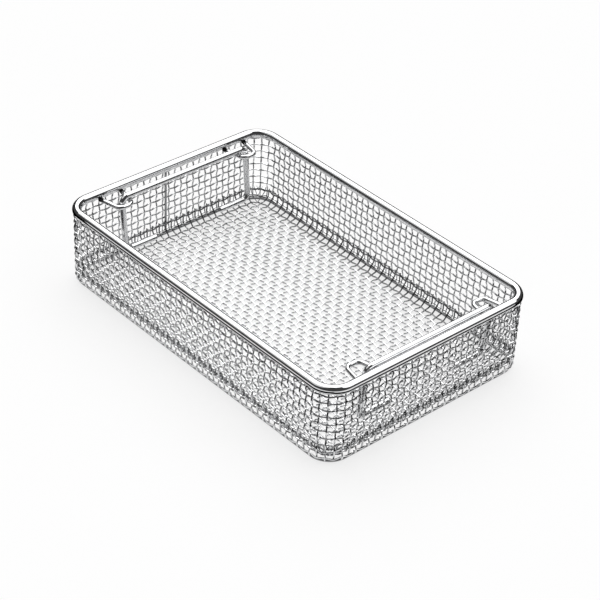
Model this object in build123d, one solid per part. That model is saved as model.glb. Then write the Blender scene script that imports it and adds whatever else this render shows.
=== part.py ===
from build123d import *
import math
import os

# Wire mesh sterilising basket. Millimetres, +Z up, long side along X.
# The origin is on the surface the basket stands on, under its middle.
# An inset is a distance from the rim bar's centreline towards the middle of the basket,
# or for the cloth a distance from the middle of the wall.

# ---- driving dimensions -------------------------------------------------------------

overall_length = 254.0      # over the rim bar
overall_width = 165.0       # over the rim bar
overall_height = 55.0       # ground to the top of the rim bar
rim_bar = 6.0               # diameter of the polished bar round the mouth
corner_radius = 14.0        # plan radius of a corner, on the bar's centreline

# Round wire and bar are drawn with flat sides and short straight steps, which keep the
# surface light. The corners of the sides lie on the true circle.
wire_sides = 16             # flat sides round a wire
wire_step = 15.0            # degrees that a bend turns in one step, at most
cloth_step = 30.0           # the same for the woven cloth at the basket's corners

# The real cloth has 1 mm wires on a 5.08 mm pitch. One strand here stands for two or
# three of its wires and is about as much wider, so the walls stay as open.
strand_width = 2.2          # across a strand, in the plane of the cloth
strand_depth = 0.7          # through a strand, across the cloth
strand_pitch = 12.5         # between strands in the walls
wall_out = 1.4              # the walls stand this far outside the rim bar's centreline
floor_pitch = 19.0          # between strands in the floor

floor_bend = 4.0            # height and breadth of the slope round the floor panel
floor_flange = 9.0          # height of the panel's turned-up edge above the ground
floor_lip = 6.0             # flat part inside the slope, under the strands' ends

eye_wire = 3.0              # diameter of the wire in the four handle eyes
eye_mouth = 17.0            # between an eye's two ends, at the rim
eye_tip = 10.0              # width of an eye at its inner end
eye_reach = 18.0            # inset of the inner end's centreline
eye_drop = 3.3              # from the rim bar's centre down to the eye wire's centre
eye_bend = 4.5              # bend radius of an eye's two corners

handle_wire = 4.0           # diameter of a handle's wire
handle_width = 102.0        # between the centrelines of a handle's legs
handle_offset = 4.0         # from the middle of the short side, towards the back
handle_depth = 37.5         # grip centreline to foot centreline, along the legs
handle_foot = 24.0          # length of a foot, from its leg's centreline
handle_bend = 5.0           # centreline radius of a handle's bends
handle_lean = 6.0           # degrees that a hanging handle leans from upright
left_grip_inset = 13.0      # where the left handle's grip lies as it hangs
right_grip_inset = 6.2      # where the right handle's grip lies as it hangs
running_gap = 0.3           # between a handle and the eyes at rest

# ---- sizes that follow --------------------------------------------------------------

rim_x = (overall_length - rim_bar) / 2
rim_y = (overall_width - rim_bar) / 2
rim_z = overall_height - rim_bar / 2
wall_x = rim_x + wall_out
wall_y = rim_y + wall_out
cloth = 3 * strand_depth            # whole thickness of the woven cloth
eye_z = rim_z - eye_drop
grip_z = eye_z + (eye_wire + handle_wire) / 2 + running_gap

UP = Vector(0, 0, 1)


def stepped(path, step):
    """The path in straight lines: each arc becomes chords that turn by a step at most."""
    points = []
    for run in path.order_edges():
        chords = 1
        if run.geom_type == GeomType.CIRCLE:
            chords = math.ceil(round(math.degrees(run.length / run.radius) / step, 3))
        points += [run @ (i / chords) for i in range(chords)]
    if not path.is_closed:
        points.append(path @ 1)
    return Polyline(*points, close=path.is_closed)


def cloth_outline(inset):
    """Plan outline of the cloth in steps, at an inset from the middle of the wall."""
    rounded = RectangleRounded(2 * wall_x, 2 * wall_y, corner_radius + wall_out)
    plan = make_face(stepped(rounded.wire(), cloth_step))
    return offset(plan, -inset, kind=Kind.INTERSECTION)


def round_wire(path, diameter):
    """Round wire bent along an open path that lies in one plane."""
    line = stepped(path, wire_step)
    across = Plane(origin=line @ 0, x_dir=path.normal(), z_dir=line % 0)
    section = across * RegularPolygon(diameter / 2, wire_sides)
    return sweep(section, path=line, transition=Transition.RIGHT)


def woven_profile(crossings, side, low, high):
    """Face of a strand that passes its crossings on alternate sides of the cloth.

    It lies in (depth, travel), from low to high, and both ends are in the cloth's middle.
    """
    half, flat = strand_depth / 2, strand_width / 2
    line = [(0, low)]
    for at in crossings:
        line += [(side * strand_depth, at - flat), (side * strand_depth, at + flat)]
        side = -side
    line.append((0, high))
    near = [(depth - half, travel) for depth, travel in line]
    far = [(depth + half, travel) for depth, travel in reversed(line)]
    return make_face(Polyline(*near, *far, close=True))


def evenly(length, pitch):
    """Middles of the even steps that split a length, centred on zero, near a pitch."""
    count = max(1, round(length / pitch))
    step = length / count
    return [(i + 0.5 - count / 2) * step for i in range(count)]


def make_rim():
    """Polished round bar round the mouth, its ends butt welded and ground away."""
    corners = [(0, -rim_y), (rim_x, -rim_y), (rim_x, rim_y), (0, rim_y)]
    path = FilletPolyline(*[(x, y, rim_z) for x, y in corners], radius=corner_radius)
    half = round_wire(path, rim_bar)
    return half + mirror(half, about=Plane.YZ)


def make_wall(rim):
    """The wall strip: level strands all round, and upright strands woven through them."""
    low = strand_width / 2
    high = rim_z - rim_bar / 2
    count = max(2, round((high - low) / strand_pitch))
    rows = [low + i * (high - low) / count for i in range(count + 1)]

    ring = cloth_outline(-strand_depth / 2) - cloth_outline(strand_depth / 2)
    strands = [
        extrude(Plane.XY.offset(z - strand_width / 2) * ring, strand_width) for z in rows
    ]
    profiles = [woven_profile(rows[1:-1], side, rows[0], rows[-1]) for side in (1, -1)]
    turn = 0
    for flat in cloth_outline(0).wire().order_edges():
        heading = flat % 0
        for along in evenly(flat.length, strand_pitch):
            origin = flat @ (0.5 + along / flat.length)
            spot = Plane(origin=origin, x_dir=heading.cross(UP), z_dir=-heading)
            strands.append(extrude(spot * profiles[turn % 2], strand_width / 2, both=True))
            turn += 1
    strip = strands[0].fuse(*strands[1:])
    return strip - rim


def make_floor():
    """The floor panel: woven strands on an openwork border that turns up in the wall."""
    outer = extrude(cloth_outline(cloth / 2), floor_flange)
    outer = chamfer(outer.faces().sort_by(Axis.Z)[0].edges(), floor_bend)
    hollow = cloth_outline(cloth / 2 + strand_depth)
    inner = extrude(Plane.XY.offset(strand_depth) * hollow, floor_flange)
    inner_bend = floor_bend - strand_depth * (2 - math.sqrt(2))
    inner = chamfer(inner.faces().sort_by(Axis.Z)[0].edges(), inner_bend)

    # the strands lie on the border and stop short of the slope
    bend_inset = cloth / 2 + floor_bend
    reach_x, reach_y = wall_x - bend_inset, wall_y - bend_inset
    flat_x, flat_y = reach_x - floor_lip, reach_y - floor_lip
    border = outer - inner - Box(2 * flat_x, 2 * flat_y, 2 * cloth)

    # between the strands the border is open up to a level strand along its edge
    across = evenly(2 * flat_x, floor_pitch)
    along = evenly(2 * flat_y, floor_pitch)
    open_height = 2 * (floor_flange - strand_width)
    gap_x = across[1] - across[0]
    gap_y = along[1] - along[0]
    across_gap = Box(gap_x - strand_width, 2 * wall_y, open_height)
    along_gap = Box(2 * wall_x, gap_y - strand_width, open_height)
    border -= [Pos(x + gap_x / 2, 0, 0) * across_gap for x in across[:-1]]
    border -= [Pos(0, y + gap_y / 2, 0) * along_gap for y in along[:-1]]
    middle = cloth / 2
    strands = [
        Pos(0, y, middle) * Box(2 * reach_x, strand_width, strand_depth) for y in along
    ]
    profiles = [woven_profile(along, side, -reach_y, reach_y) for side in (1, -1)]
    for turn, x in enumerate(across):
        spot = Plane(origin=(x, 0, middle), x_dir=(0, 0, 1), z_dir=(-1, 0, 0))
        strands.append(extrude(spot * profiles[turn % 2], strand_width / 2, both=True))
    return border.fuse(*strands)


def make_eye(rim, end, side):
    """Bent wire loop under the rim, its two ends coped to the bar and welded."""
    mouth, tip = eye_mouth / 2, eye_tip / 2
    points = [(cloth / 2, -mouth), (eye_reach, -tip), (eye_reach, tip), (cloth / 2, mouth)]
    place = [
        (end * (rim_x - inset), handle_offset + side * handle_width / 2 + across, eye_z)
        for inset, across in points
    ]
    return round_wire(FilletPolyline(*place, radius=eye_bend), eye_wire) - rim


def make_handle(end, grip_inset):
    """Drop handle: one wire bent into a grip, two legs and two feet turned inwards."""
    half = handle_width / 2
    foot = half - handle_foot
    points = [
        (-foot, -handle_depth),
        (-half, -handle_depth),
        (-half, 0),
        (half, 0),
        (half, -handle_depth),
        (foot, -handle_depth),
    ]
    lean = math.radians(handle_lean)
    hung = Plane(
        origin=(end * (rim_x - grip_inset), handle_offset, grip_z),
        x_dir=(0, 1, 0),
        z_dir=(math.cos(lean), 0, -end * math.sin(lean)),
    )
    return round_wire(hung * FilletPolyline(*points, radius=handle_bend), handle_wire)


rim = make_rim()
nodes = {
    "rim": rim,
    "wall_mesh": make_wall(rim),
    "floor_mesh": make_floor(),
    "handle_left": make_handle(-1, left_grip_inset),
    "handle_right": make_handle(1, right_grip_inset),
}
for end_name, end in (("left", -1), ("right", 1)):
    for side_name, side in (("front", -1), ("back", 1)):
        nodes[f"eye_{end_name}_{side_name}"] = make_eye(rim, end, side)

os.makedirs("parts", exist_ok=True)
for name, piece in nodes.items():
    export_step(piece, f"parts/{name}.step")
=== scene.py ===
import math

import bpy
import numpy as np
from mathutils import Matrix, Vector


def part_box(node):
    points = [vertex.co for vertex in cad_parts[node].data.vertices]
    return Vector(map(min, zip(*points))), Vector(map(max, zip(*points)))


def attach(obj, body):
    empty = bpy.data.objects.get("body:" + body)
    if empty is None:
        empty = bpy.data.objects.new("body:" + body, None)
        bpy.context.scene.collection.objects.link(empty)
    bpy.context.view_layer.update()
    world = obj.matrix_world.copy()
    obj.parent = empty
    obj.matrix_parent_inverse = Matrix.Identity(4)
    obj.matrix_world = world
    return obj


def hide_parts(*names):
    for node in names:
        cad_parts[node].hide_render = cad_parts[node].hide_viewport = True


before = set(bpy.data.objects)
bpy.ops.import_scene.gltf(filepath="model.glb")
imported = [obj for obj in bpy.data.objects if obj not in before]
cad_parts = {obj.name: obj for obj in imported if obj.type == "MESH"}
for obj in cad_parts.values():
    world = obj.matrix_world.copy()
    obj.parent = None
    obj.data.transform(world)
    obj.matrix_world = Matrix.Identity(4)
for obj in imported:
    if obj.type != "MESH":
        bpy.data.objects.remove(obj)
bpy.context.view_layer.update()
bpy.ops.object.select_all(action="DESELECT")

# ---- sizes, in metres, from the frame and from the real stock ------------------------

MM = 0.001
UP = Vector((0, 0, 1))

rim_low, rim_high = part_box("rim")
BAR = rim_high.z - rim_low.z            # diameter of the rim bar
RIM_X = rim_high.x - BAR / 2            # half length and half width, on the bar's middle
RIM_Y = rim_high.y - BAR / 2
RIM_Z = rim_high.z - BAR / 2
CORNER = 14 * MM                        # plan radius of a corner, on the bar's middle
STRAIGHT_X = RIM_X - CORNER             # half of each straight side
STRAIGHT_Y = RIM_Y - CORNER
WALL_OUT = 1.4 * MM                     # the wall's middle stands this far outside
WALL_X, WALL_Y = RIM_X + WALL_OUT, RIM_Y + WALL_OUT
WALL_CORNER = CORNER + WALL_OUT

WIRE = 1.0 * MM                         # diameter of the cloth's wire
CRIMP = WIRE / 2                        # how far a woven wire's middle leaves the cloth's
CLOTH = 2 * WIRE                        # thickness of the woven cloth
COLUMNS = 156                           # upright wires round the basket
ROWS = 10                               # level wires in the walls
WAVE_STEPS = 8                          # rings in one wave, which is two pitches long
WIRE_SIDES = 8
BAR_SIDES = 32
BEND_STEP = math.radians(5)             # turn between two rings of a bend
SMOOTH_BELOW = math.radians(40)         # sharper edges, such as cut ends, stay sharp

PERIMETER = 4 * (STRAIGHT_X + STRAIGHT_Y) + 2 * math.pi * WALL_CORNER
COLUMN_PITCH = PERIMETER / COLUMNS
SEAM_WIRE = 1.6 * MM                    # the upright wire that the strip's ends meet at
SEAM_Y = -0.4 * MM                      # where it stands, in the left wall
SEAM_OVER = (1.0 * MM, 0.2 * MM)        # it goes into the rim bar and the foot wire
WALL_TOP = RIM_Z - BAR / 2
WALL_TUCK = 4.0 * MM                    # radius at which the walls' wires turn under
TUCK_TURN = math.radians(50)            # how far they turn
TUCK_END_Z = 1.0 * MM                   # height of their ends, at the foot wire
BEND_Z = TUCK_END_Z + WALL_TUCK * math.sin(TUCK_TURN)   # where they start to turn
TOP_ROW = 0.25                          # pitches from the wall's top to the first row
ROW_PITCH = (WALL_TOP - BEND_Z + WALL_TUCK * TUCK_TURN) / (ROWS - TOP_ROW)

FOOT_WIRE = 1.6 * MM                    # the plain wire round the walls' foot
FOOT_INSET = WALL_TUCK * (1 - math.cos(TUCK_TURN))

FLOOR_INSET = 2.0 * MM                  # of the panel's turned-up edge, inside the wall
FLOOR_BEND = 7.0 * MM                   # radius at which it turns up
FLOOR_EDGE = 11.0 * MM                  # height of the turned-up edge
FLOOR_WAVES = (26, 17)                  # waves along a long wire and along a cross wire

EYE_WIRE = 3.0 * MM
EYE_Z = RIM_Z - 3.3 * MM                # height of the eyes, which hang under the bar
EYE_BEND = 4.5 * MM
EYE_MOUTH = 8.5 * MM                    # half an eye's width at the bar
EYE_TIP = 5.0 * MM                      # and at its inner end
EYE_ROOT, EYE_REACH = 1.0 * MM, 18.0 * MM   # its two ends, inwards from the bar's middle

HANDLE_WIRE = 4.0 * MM
HANDLE_BEND = 5.0 * MM
HANDLE_HALF = 51.0 * MM                 # half the width between a handle's legs
HANDLE_DEPTH = 37.5 * MM                # from its grip down to its feet
HANDLE_FOOT = 24.0 * MM                 # length of a foot
HANDLE_LEAN = math.radians(6)           # the legs lean this far from upright
HANDLE_MIDDLE = 4.0 * MM                # its middle, from the basket's, to the back
LEFT_GRIP_INSET = 13.0 * MM             # the grip, inwards from the bar's middle
RIGHT_GRIP_INSET = 6.2 * MM
RUNNING_GAP = 0.3 * MM                  # between a grip and the eyes it lies on
GRIP_Z = EYE_Z + (EYE_WIRE + HANDLE_WIRE) / 2 + RUNNING_GAP

TOUCH = 0.01 * MM                       # points closer than this are merged


def linear(hex_colour):
    """An sRGB hex colour such as d8dadc as linear red, green, blue and alpha."""
    parts = [int(hex_colour[i : i + 2], 16) / 255 for i in (0, 2, 4)]
    return [c / 12.92 if c <= 0.04045 else ((c + 0.055) / 1.055) ** 2.4 for c in parts] + [1]


# ---- making wires ---------------------------------------------------------------------


def ring(name, at, way, diameter, sides):
    """Starts a wire: a ring of sides round a point, left selected in edit mode."""
    turn = Vector(way).to_track_quat("Z", "Y").to_euler()
    bpy.ops.mesh.primitive_circle_add(
        vertices=sides, radius=diameter / 2, location=at, rotation=turn
    )
    bpy.ops.object.transform_apply(location=True, rotation=True, scale=True)
    bpy.context.object.name = name
    bpy.ops.object.mode_set(mode="EDIT")
    bpy.ops.mesh.select_all(action="SELECT")
    return bpy.context.object


def draw_out(step):
    """Extrudes the selected ring by a step."""
    bpy.ops.mesh.extrude_region_move(TRANSFORM_OT_translate={"value": step})


def close_ends(sides):
    """Caps the wire's open ends, turns its faces outwards and leaves edit mode."""
    bpy.ops.mesh.select_all(action="SELECT")
    bpy.ops.mesh.remove_doubles(threshold=TOUCH)
    bpy.ops.mesh.fill_holes(sides=sides)
    bpy.ops.mesh.select_all(action="SELECT")
    bpy.ops.mesh.normals_make_consistent(inside=False)
    bpy.ops.object.mode_set(mode="OBJECT")


def bent_wire(name, corners, radius, diameter):
    """A round wire bent by hand at one radius round its corners, straight between."""
    corners = [Vector(corner) for corner in corners]
    ways = [(b - a).normalized() for a, b in zip(corners, corners[1:])]
    bends = [a.angle(b) for a, b in zip(ways, ways[1:])] + [0]
    at = corners[0]
    wire = ring(name, at, ways[0], diameter, BAR_SIDES)
    for number, (way, bend) in enumerate(zip(ways, bends)):
        run = corners[number + 1] - way * radius * math.tan(bend / 2) - at
        draw_out(run)
        at = at + run
        if bend == 0:
            continue
        axis = way.cross(ways[number + 1]).normalized()
        centre = at + axis.cross(way) * radius
        steps = round(bend / BEND_STEP)
        bpy.ops.mesh.spin(steps=steps, angle=-bend, center=centre, axis=axis)
        at = centre + Matrix.Rotation(bend, 3, axis) @ (at - centre)
    close_ends(BAR_SIDES)
    bpy.ops.object.shade_smooth_by_angle(angle=SMOOTH_BELOW)
    return wire


def apply_modifier(piece, kind, **settings):
    """Adds a modifier to the piece and applies it."""
    bpy.context.view_layer.objects.active = piece
    modifier = piece.modifiers.new(kind.lower(), kind)
    for key, value in settings.items():
        setattr(modifier, key, value)
    bpy.ops.object.modifier_apply(modifier=modifier.name)


def array(piece, count, offset, merge=False):
    """Repeats the piece at an even offset."""
    apply_modifier(
        piece,
        "ARRAY",
        count=count,
        use_relative_offset=False,
        use_constant_offset=True,
        constant_offset_displace=offset,
        use_merge_vertices=merge,
        merge_threshold=TOUCH,
    )


def join(name, pieces):
    """Joins the pieces into one."""
    bpy.ops.object.select_all(action="DESELECT")
    for piece in pieces:
        piece.select_set(True)
    bpy.context.view_layer.objects.active = pieces[0]
    if len(pieces) > 1:
        bpy.ops.object.join()
    pieces[0].name = name
    pieces[0].data.name = name
    return pieces[0]


def crimped_wires(name, start, along, across, waves, count, side):
    """Parallel wires of a flat cloth, which lies in the XZ plane with its face to +Y.

    A wire starts half way between two crossings. along is one pitch of it and across
    one step to the next wire, which waves to the opposite side.
    """
    start, along, across = Vector(start), Vector(along), Vector(across)
    face = Vector((0, 1, 0))
    sets = []
    for first in (0, 1):
        lean = side if first == 0 else -side
        heights = [
            lean * CRIMP * math.sin(2 * math.pi * i / WAVE_STEPS) for i in range(WAVE_STEPS + 1)
        ]
        wires = ring(name, start + across * first + face * heights[0], along, WIRE, WIRE_SIDES)
        for low, high in zip(heights, heights[1:]):
            draw_out(along * 2 / WAVE_STEPS + face * (high - low))
        bpy.ops.object.mode_set(mode="OBJECT")
        array(wires, waves, along * 2, merge=True)
        array(wires, (count + 1 - first) // 2, across * 2)
        sets.append(wires)
    cloth = join(name, sets)
    bpy.ops.object.mode_set(mode="EDIT")
    close_ends(WIRE_SIDES)
    return cloth


def form(piece, shape):
    """Moves every point of the piece as shape, a function of x, y and z arrays, says."""
    points = np.empty(len(piece.data.vertices) * 3)
    piece.data.vertices.foreach_get("co", points)
    points = np.stack(shape(*points.reshape(-1, 3).T), axis=1)
    piece.data.vertices.foreach_set("co", points.ravel())
    piece.data.update()


def roll_round(x, y, z):
    """Rolls a flat strip round the basket, its face outwards.

    Its ends meet in the left wall. Near the ground its wires turn under at the tuck's
    radius.
    """
    turn = np.clip((BEND_Z - z) / WALL_TUCK, 0, math.pi / 2)
    out = y - (WALL_TUCK + y) * (1 - np.cos(turn))
    height = np.where(turn > 0, BEND_Z - (WALL_TUCK + y) * np.sin(turn), z)

    seam = STRAIGHT_Y + SEAM_Y
    sides = (seam, 2 * STRAIGHT_X, 2 * STRAIGHT_Y, 2 * STRAIGHT_X, 2 * STRAIGHT_Y)
    left = np.clip(x, 0, None)
    px, py = np.zeros_like(x), np.zeros_like(x)
    place, way = Vector((-WALL_X, SEAM_Y)), Vector((0, -1))
    for length in sides:
        outward = Vector((way.y, -way.x))
        here = left >= 0
        px[here] = place.x + way.x * left[here] + outward.x * out[here]
        py[here] = place.y + way.y * left[here] + outward.y * out[here]
        left -= length
        centre = place + way * length - outward * WALL_CORNER
        here = left >= 0
        angle = left[here] / WALL_CORNER
        reach = WALL_CORNER + out[here]
        px[here] = centre.x + reach * (outward.x * np.cos(angle) + way.x * np.sin(angle))
        py[here] = centre.y + reach * (outward.y * np.cos(angle) + way.y * np.sin(angle))
        left -= math.pi / 2 * WALL_CORNER
        place = centre + way * WALL_CORNER
        way = -outward
    return px, py, height


def press_floor(x, y, z):
    """Presses a flat panel, which lies in the XZ plane, into the basket's floor.

    The panel's edges turn up inside the wall, and its corners are gathered round.
    """
    across, lift = -z, y
    u = np.clip(np.abs(x) - STRAIGHT_X, 0, None)
    v = np.clip(np.abs(across) - STRAIGHT_Y, 0, None)
    reach = np.maximum(u, v)
    diagonal = np.maximum(np.hypot(u, v), 1e-9)
    way_u, way_v = u / diagonal, v / diagonal
    flat = WALL_CORNER - FLOOR_INSET - FLOOR_BEND
    turn = np.clip((reach - flat) / FLOOR_BEND, 0, math.pi / 2)
    rest = np.clip(reach - flat - FLOOR_BEND * math.pi / 2, 0, None)
    out = np.minimum(reach, flat) + (FLOOR_BEND - lift) * np.sin(turn)
    height = CLOTH / 2 + FLOOR_BEND - (FLOOR_BEND - lift) * np.cos(turn) + rest
    px = np.sign(x) * (np.minimum(np.abs(x), STRAIGHT_X) + out * way_u)
    py = np.sign(across) * (np.minimum(np.abs(across), STRAIGHT_Y) + out * way_v)
    return px, py, height


# ---- the basket's pieces --------------------------------------------------------------


def make_rim():
    """The bar round the mouth, bent in two halves that meet at the long sides' middles."""
    corners = [
        (0, -RIM_Y, RIM_Z),
        (RIM_X, -RIM_Y, RIM_Z),
        (RIM_X, RIM_Y, RIM_Z),
        (0, RIM_Y, RIM_Z),
    ]
    bar = bent_wire("rim_bar", corners, CORNER, BAR)
    apply_modifier(bar, "MIRROR", use_axis=(True, False, False), merge_threshold=TOUCH)
    return bar


def make_eye(name, end, side):
    """A bent wire loop under the rim, which a handle's leg hangs in."""
    points = [
        (EYE_ROOT, -EYE_MOUTH),
        (EYE_REACH, -EYE_TIP),
        (EYE_REACH, EYE_TIP),
        (EYE_ROOT, EYE_MOUTH),
    ]
    corners = [
        (end * (RIM_X - inset), HANDLE_MIDDLE + side * HANDLE_HALF + across, EYE_Z)
        for inset, across in points
    ]
    return bent_wire(name, corners, EYE_BEND, EYE_WIRE)


def make_handle(name, end, grip_inset):
    """A drop handle: a grip, two legs and two feet turned inwards."""
    grip = Vector((end * (RIM_X - grip_inset), HANDLE_MIDDLE, GRIP_Z))
    low = grip + HANDLE_DEPTH * Vector((-end * math.sin(HANDLE_LEAN), 0, -math.cos(HANDLE_LEAN)))
    half = Vector((0, HANDLE_HALF, 0))
    toe = Vector((0, HANDLE_HALF - HANDLE_FOOT, 0))
    corners = [low - toe, low - half, grip - half, grip + half, low + half, low + toe]
    return bent_wire(name, corners, HANDLE_BEND, HANDLE_WIRE)


def make_foot():
    """The plain wire that the walls' wires are welded down to, round the foot."""
    low = FOOT_WIRE / 2
    x, y = WALL_X - FOOT_INSET, WALL_Y - FOOT_INSET
    corners = [(0, -y, low), (x, -y, low), (x, y, low), (0, y, low)]
    wire = bent_wire("foot_wire", corners, WALL_CORNER - FOOT_INSET, FOOT_WIRE)
    apply_modifier(wire, "MIRROR", use_axis=(True, False, False), merge_threshold=TOUCH)
    return wire


def make_seam():
    """The upright wire that the wall's two ends are welded to, turned under like them."""
    bend = WALL_TUCK * math.tan(TUCK_TURN / 2)
    corner = Vector((-WALL_X, SEAM_Y, BEND_Z - bend))
    under = Vector((math.sin(TUCK_TURN), 0, -math.cos(TUCK_TURN)))
    over_top, over_end = SEAM_OVER
    top = (-WALL_X, SEAM_Y, WALL_TOP + over_top)
    corners = [top, corner, corner + under * (bend + over_end)]
    return bent_wire("seam_wire", corners, WALL_TUCK, SEAM_WIRE)


def make_wall():
    """The wall's woven strip: upright wires that turn under at the foot, and level ones."""
    top = WALL_TOP - TOP_ROW * ROW_PITCH
    level = crimped_wires(
        "wall_level_wires",
        (0, 0, top),
        (COLUMN_PITCH, 0, 0),
        (0, 0, -ROW_PITCH),
        COLUMNS // 2,
        ROWS,
        1,
    )
    upright = crimped_wires(
        "wall_upright_wires",
        (COLUMN_PITCH / 2, 0, top + ROW_PITCH / 2),
        (0, 0, -ROW_PITCH),
        (COLUMN_PITCH, 0, 0),
        ROWS // 2,
        COLUMNS,
        -1,
    )
    for wires in (level, upright):
        form(wires, roll_round)
    return level, upright


def make_floor():
    """The floor's woven panel, pressed up at its edges."""
    edge = WALL_CORNER - FLOOR_INSET - FLOOR_BEND + FLOOR_BEND * math.pi / 2
    edge += FLOOR_EDGE - FLOOR_BEND - CLOTH / 2
    half_x, half_y = STRAIGHT_X + edge, STRAIGHT_Y + edge
    waves_x, waves_y = FLOOR_WAVES
    pitch_x, pitch_y = half_x / waves_x, half_y / waves_y
    long_wires = crimped_wires(
        "floor_long_wires",
        (-half_x, 0, -half_y + pitch_y / 2),
        (pitch_x, 0, 0),
        (0, 0, pitch_y),
        waves_x,
        2 * waves_y,
        1,
    )
    cross_wires = crimped_wires(
        "floor_cross_wires",
        (-half_x + pitch_x / 2, 0, -half_y),
        (0, 0, pitch_y),
        (pitch_x, 0, 0),
        waves_y,
        2 * waves_x,
        -1,
    )
    for wires in (long_wires, cross_wires):
        form(wires, press_floor)
    return long_wires, cross_wires


# ---- materials --------------------------------------------------------------------------


def add_node(tree, kind, sockets, **settings):
    """Adds a node. A socket is given a value, or the node and output that feed it."""
    node = tree.nodes.new(kind)
    for key, value in settings.items():
        setattr(node, key, value)
    for name, value in sockets.items():
        if isinstance(value, tuple) and isinstance(value[0], bpy.types.Node):
            tree.links.new(value[0].outputs[value[1]], node.inputs[name])
        else:
            node.inputs[name].default_value = value
    return node


def new_material(name):
    """An empty node material with its tree, its object coordinates and its output."""
    material = bpy.data.materials.new(name)
    material.use_nodes = True
    tree = material.node_tree
    tree.nodes.clear()
    place = add_node(tree, "ShaderNodeTexCoord", {})
    output = add_node(tree, "ShaderNodeOutputMaterial", {})
    return material, tree, place, output


def heat_tint_and_painted_shade(tree, place, colour, tint_and_shade):
    """Steel darkened towards an edge: painted shade where the floor panel's edge meets the wall,
    and heat tint from welding together with painted shade where the eyes meet the rim bar.

    weld has how far from the basket's middle the dark starts, along X and along Y, over
    how far it comes in, and its colour. None leaves that direction out.
    """
    parts = add_node(tree, "ShaderNodeSeparateXYZ", {"Vector": (place, "Object")})
    *starts, depth, tint = tint_and_shade
    past = []
    for axis, start in zip("XY", starts):
        if start is not None:
            side = add_node(tree, "ShaderNodeMath", {0: (parts, axis)}, operation="ABSOLUTE")
            past.append(
                add_node(
                    tree, "ShaderNodeMath", {0: (side, "Value"), 1: start}, operation="SUBTRACT"
                )
            )
    farthest = add_node(
        tree,
        "ShaderNodeMath",
        {0: (past[0], "Value"), 1: (past[-1], "Value")},
        operation="MAXIMUM",
    )
    near = add_node(
        tree,
        "ShaderNodeMapRange",
        {"Value": (farthest, "Value"), "From Min": 0.0, "From Max": depth},
        interpolation_type="SMOOTHSTEP",
    )
    return add_node(
        tree,
        "ShaderNodeMixRGB",
        {"Fac": (near, "Result"), "Color1": colour, "Color2": linear(tint)},
    )


def stainless(name, colours, roughness, ripple, tint_and_shade=None):
    """Stainless steel, electropolished: bright and neutral, with the ripple that its
    drawing left, this far from crest to crest, and faint patches where the polish took
    less, between the two colours and the two roughnesses."""
    material, tree, place, output = new_material(name)
    patches = add_node(
        tree,
        "ShaderNodeTexNoise",
        {"Vector": (place, "Object"), "Scale": 1 / PATCH_SIZE, "Detail": 3.0},
    )
    colour = add_node(tree, "ShaderNodeValToRGB", {"Fac": (patches, "Fac")})
    for element, position, shade in zip(colour.color_ramp.elements, (0.35, 0.65), colours):
        element.position = position
        element.color = linear(shade)
    # darkening towards an edge: painted shade, with heat tint from welding at the eyes
    if tint_and_shade:
        colour = heat_tint_and_painted_shade(tree, place, (colour, "Color"), tint_and_shade)
    gloss = add_node(
        tree,
        "ShaderNodeMapRange",
        {"Value": (patches, "Fac"), "To Min": roughness[0], "To Max": roughness[1]},
    )
    waves = add_node(
        tree,
        "ShaderNodeTexNoise",
        {"Vector": (place, "Object"), "Scale": 1 / ripple, "Detail": 1.0},
    )
    bump = add_node(
        tree,
        "ShaderNodeBump",
        {"Height": (waves, "Fac"), "Strength": 1.0, "Distance": RIPPLE_DEPTH},
    )
    shader = add_node(
        tree,
        "ShaderNodeBsdfPrincipled",
        {
            "Base Color": (colour, "Color"),
            "Metallic": 1.0,
            "Roughness": (gloss, "Result"),
            "Normal": (bump, "Normal"),
        },
    )
    tree.links.new(shader.outputs["BSDF"], output.inputs["Surface"])
    return material


PATCH_SIZE = 9 * MM
RIPPLE_DEPTH = 0.004 * MM
CLOTH_COLOURS, CLOTH_ROUGHNESS, CLOTH_RIPPLE = ("d6d7d8", "e2e2e3"), (0.05, 0.14), 0.8 * MM
WIRE_COLOURS, WIRE_ROUGHNESS, WIRE_RIPPLE = ("d7d8d9", "e2e2e3"), (0.04, 0.09), 1.5 * MM
EDGE_SHADE = 11 * MM                     # the panel carries painted shade this near the wall's middle
EYE_DARK = 3.5 * MM                     # an eye is dark this near the rim bar
# colours of the painted shade at the floor panel's edge, and of the eyes' heat tint with painted
# shade
EDGE_SHADE_COLOUR, HEAT_TINT_AND_SHADE_COLOUR = "909192", "2c2a29"

# solid bar, the brightest: thick enough to be ground before it is electropolished
bar_steel = stainless("electropolished_bar", ("d8d9da", "e3e3e4"), (0.03, 0.08), 2.5 * MM)
# wire cloth, a little duller, because the polish reaches less between its wires
cloth_steel = stainless(
    "electropolished_wire_cloth", CLOTH_COLOURS, CLOTH_ROUGHNESS, CLOTH_RIPPLE
)
# drawn wire of the handles
wire_steel = stainless("electropolished_wire", WIRE_COLOURS, WIRE_ROUGHNESS, WIRE_RIPPLE)
# the foot and seam wires, spot welded at every crossing, in darker steel: on the foot wire the
# darker tone is painted shade where it lies on the ground
foot_shade_and_seam_steel = stainless("darker_wire_painted_shade_at_foot", ("8e8f90", "a6a7a8"), (0.10, 0.20), WIRE_RIPPLE)
# wire cloth whose turned-up edge lies against the wall, with painted shade along that edge
floor_steel = stainless(
    "electropolished_wire_cloth_edge_painted_shade",
    CLOTH_COLOURS,
    CLOTH_ROUGHNESS,
    CLOTH_RIPPLE,
    (WALL_X - EDGE_SHADE, WALL_Y - EDGE_SHADE, 5 * MM, EDGE_SHADE_COLOUR),
)
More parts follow.
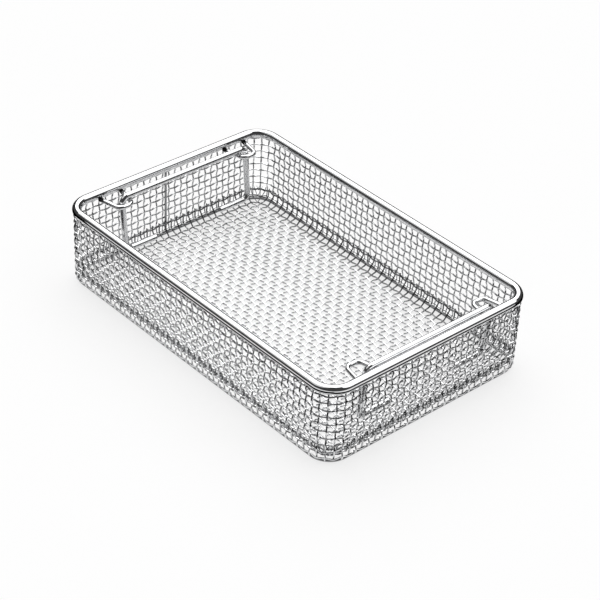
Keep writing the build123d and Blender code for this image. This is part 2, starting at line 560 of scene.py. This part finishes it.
# drawn wire of the eyes, darker near the rim bar: heat tint from welding, together with painted
# shade under the bar
eye_steel = stainless(
    "electropolished_wire_heat_tint_and_painted_shade",
    WIRE_COLOURS,
    WIRE_ROUGHNESS,
    WIRE_RIPPLE,
    (RIM_X - BAR / 2 - EYE_DARK, None, EYE_DARK, HEAT_TINT_AND_SHADE_COLOUR),
)


def dress(pieces, material):
    """Gives each piece its only material."""
    for piece in pieces:
        piece.data.materials.clear()
        piece.data.materials.append(material)


rim = make_rim()
wall_cloth = make_wall()
wall_edges = (make_foot(), make_seam())
wall = (*wall_cloth, *wall_edges)
floor_cloth = make_floor()
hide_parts("rim")
for piece in wall:
    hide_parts("wall_mesh")
for piece in floor_cloth:
    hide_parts("floor_mesh")
eyes, handles = [], []
ends = (("left", -1, LEFT_GRIP_INSET), ("right", 1, RIGHT_GRIP_INSET))
for end_name, end, grip_inset in ends:
    handle = make_handle(f"handle_{end_name}_wire", end, grip_inset)
    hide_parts(f"handle_{end_name}")
    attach(handle, f"handle_{end_name}")
    handles.append(handle)
    for side_name, side in (("front", -1), ("back", 1)):
        node = f"eye_{end_name}_{side_name}"
        eye = make_eye(f"{node}_wire", end, side)
        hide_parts(node)
        eyes.append(eye)
for piece in (rim, *wall, *floor_cloth, *eyes):
    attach(piece, "basket")
dress([rim], bar_steel)
dress(wall_cloth, cloth_steel)
dress(wall_edges, foot_shade_and_seam_steel)
dress(floor_cloth, floor_steel)
dress(eyes, eye_steel)
dress(handles, wire_steel)


# ---- floor, light and camera ------------------------------------------------------------

GROUND_SIZE = 12
GROUND_GLOW = 0.75                      # share of plain white where the ground is seen
LAMP_AWAY = 3                           # a sun lamp's place only says where it shines from
WORLD_LEVEL = 0.06
PITCH, YAW, ROLL = 0.60958, 0.82391, 0.04875
DISTANCE, ASIDE, ABOVE = 1259.4 * MM, -5.69 * MM, 9.96 * MM
MIDDLE_Z = 26.56 * MM
SENSOR = 36
FOCAL_LENGTHS = 2026 / 600              # the lens, in widths of the picture


def seen_white(tree, lit, level):
    """Mixes a shader with plain white for rays that show a background, not light it."""
    path = add_node(tree, "ShaderNodeLightPath", {})
    glossy = add_node(
        tree,
        "ShaderNodeMath",
        {0: (path, "Is Camera Ray"), 1: (path, "Is Glossy Ray")},
        operation="MAXIMUM",
    )
    shown = add_node(
        tree,
        "ShaderNodeMath",
        {0: (glossy, "Value"), 1: (path, "Is Transmission Ray")},
        operation="MAXIMUM",
    )
    part = add_node(
        tree, "ShaderNodeMath", {0: (shown, "Value"), 1: level}, operation="MULTIPLY"
    )
    white = {"Color": linear("ffffff"), "Strength": 1.0}
    glow = add_node(tree, "ShaderNodeEmission", white)
    return add_node(tree, "ShaderNodeMixShader", {0: (part, "Value"), 1: (lit, 0), 2: (glow, 0)})


bpy.ops.mesh.primitive_plane_add(size=GROUND_SIZE)
ground = bpy.context.object
ground.name = "pale_floor"
paper, tree, place, output = new_material("white_paper")
matt = add_node(tree, "ShaderNodeBsdfDiffuse", {"Color": linear("fafafa")})
surface = seen_white(tree, matt, GROUND_GLOW)
tree.links.new(surface.outputs[0], output.inputs["Surface"])
ground.data.materials.append(paper)


def dark_flag(name, side, clear, height):
    """A black card that stands outside one wall, and that only reflections see."""
    across, beside = (RIM_X, RIM_Y) if side.x else (RIM_Y, RIM_X)
    bpy.ops.mesh.primitive_plane_add(size=1)
    card = bpy.context.object
    card.name = name
    card.scale = (2 * beside + 3 * clear, height, 1)
    card.rotation_euler = (-side).to_track_quat("Z", "Y").to_euler()
    card.location = side * (across + clear) + UP * height / 2
    card.visible_camera = False
    card.visible_diffuse = False
    card.visible_shadow = False
    card.data.materials.append(flag_black)


flag_black, tree, place, output = new_material("flag_black")
matt = add_node(tree, "ShaderNodeBsdfDiffuse", {"Color": linear("050505")})
tree.links.new(matt.outputs["BSDF"], output.inputs["Surface"])
dark_flag("flag_left", Vector((-1, 0, 0)), 0.05, 0.055)
dark_flag("flag_back", Vector((0, 1, 0)), 0.05, 0.055)
dark_flag("flag_front", Vector((0, -1, 0)), 0.024, 0.044)
dark_flag("flag_right", Vector((1, 0, 0)), 0.018, 0.044)


def soft_lamp(name, heading, height, across, radiance):
    """A round softbox far away, in degrees: its heading, its height and its width."""
    heading, height, half = (math.radians(angle) for angle in (heading, height, across / 2))
    level = math.cos(height)
    place = Vector((math.cos(heading) * level, math.sin(heading) * level, math.sin(height)))
    bpy.ops.object.light_add(type="SUN", location=place * LAMP_AWAY)
    lamp = bpy.context.object
    lamp.name = name
    lamp.data.angle = 2 * half
    lamp.data.energy = radiance * math.pi * math.sin(half) ** 2
    lamp.rotation_euler = place.to_track_quat("Z", "Y").to_euler()


soft_lamp("softbox_far", 138, 57, 68, 2.5)
soft_lamp("softbox_right", 48, 50, 40, 1.6)
soft_lamp("softbox_left", 225, 60, 54, 0.8)


def add_camera():
    """The camera, from the basket's own middle: how far, which way and how tilted."""
    ahead = Vector(
        (-math.sin(YAW) * math.cos(PITCH), math.cos(YAW) * math.cos(PITCH), -math.sin(PITCH))
    )
    level_right = Vector((math.cos(YAW), math.sin(YAW), 0))
    level_up = level_right.cross(ahead)
    right = math.cos(ROLL) * level_right + math.sin(ROLL) * level_up
    up = -math.sin(ROLL) * level_right + math.cos(ROLL) * level_up
    place = UP * MIDDLE_Z - DISTANCE * ahead - ASIDE * right - ABOVE * up
    bpy.ops.object.camera_add(location=place)
    camera = bpy.context.object
    turn = Matrix((right, up, -ahead)).transposed().to_4x4()
    camera.matrix_world = Matrix.Translation(place) @ turn
    camera.data.lens = SENSOR * FOCAL_LENGTHS
    camera.data.sensor_width = SENSOR
    camera.data.clip_start = 0.01
    bpy.context.scene.camera = camera


add_camera()
world = bpy.data.worlds.new("studio")
bpy.context.scene.world = world
world.use_nodes = True
surroundings = world.node_tree.nodes["Background"]
surroundings.inputs["Color"].default_value = linear("ffffff")
surroundings.inputs["Strength"].default_value = WORLD_LEVEL
bpy.context.scene.view_settings.view_transform = "Standard"
